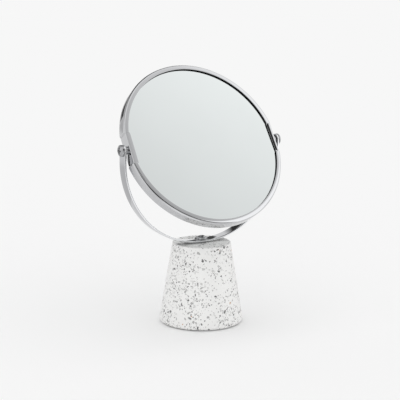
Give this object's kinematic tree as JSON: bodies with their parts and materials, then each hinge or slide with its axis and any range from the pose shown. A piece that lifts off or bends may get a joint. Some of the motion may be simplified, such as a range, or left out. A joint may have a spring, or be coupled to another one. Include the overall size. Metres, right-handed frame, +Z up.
{
  "type": "two-sided tilting table mirror",
  "caption": "Round two-sided table mirror, plain and magnifying, that tilts in a bent metal strip yoke on a weighty terrazzo cone base.",
  "frame": {"origin": "centre of the round footprint, on the table", "axes": "+X along the pivot axis, from the left arm to the right arm as the user sees them; -Y towards the user, whom the plain glass faces; +Z up"},
  "size_m": [0.1928, 0.106, 0.2626],
  "materials": {
    "terrazzo": "honed white cement with grey, black and a few tan stone chips",
    "foam": "matt, fine closed-cell foam",
    "insert_brass": "turned",
    "nylon": "matt black, moulded",
    "chrome": "polished bright chrome plate",
    "plain_steel": "zinc plated, dull",
    "silvered_glass": "polished float glass, silvered on its inner side",
    "spacer_plastic": "matt"
  },
  "bodies": {
    "stand": {"base_cone": "terrazzo", "base_pad": "foam", "base_insert": "insert_brass", "yoke_seat_washer": "nylon", "yoke": "chrome", "yoke_washer": "chrome", "yoke_screw": "chrome"},
    "head": {"rim": "chrome", "front_glass": "silvered_glass", "rear_glass": "silvered_glass", "glass_spacer": "spacer_plastic", "nut_plate_left": "plain_steel", "nut_plate_right": "plain_steel", "pivot_collar_left": "chrome", "pivot_collar_right": "chrome", "inner_washer_left": "nylon", "inner_washer_right": "nylon", "outer_washer_left": "nylon", "outer_washer_right": "nylon", "pivot_screw_left": "chrome", "pivot_screw_right": "chrome"}
  },
  "joints": [
    {"name": "head_tilt", "type": "hinge", "parent": "stand", "child": "head", "pos_m": [0, 0, 0.185], "axis": [1, 0, 0], "continuous": true}
  ]
}
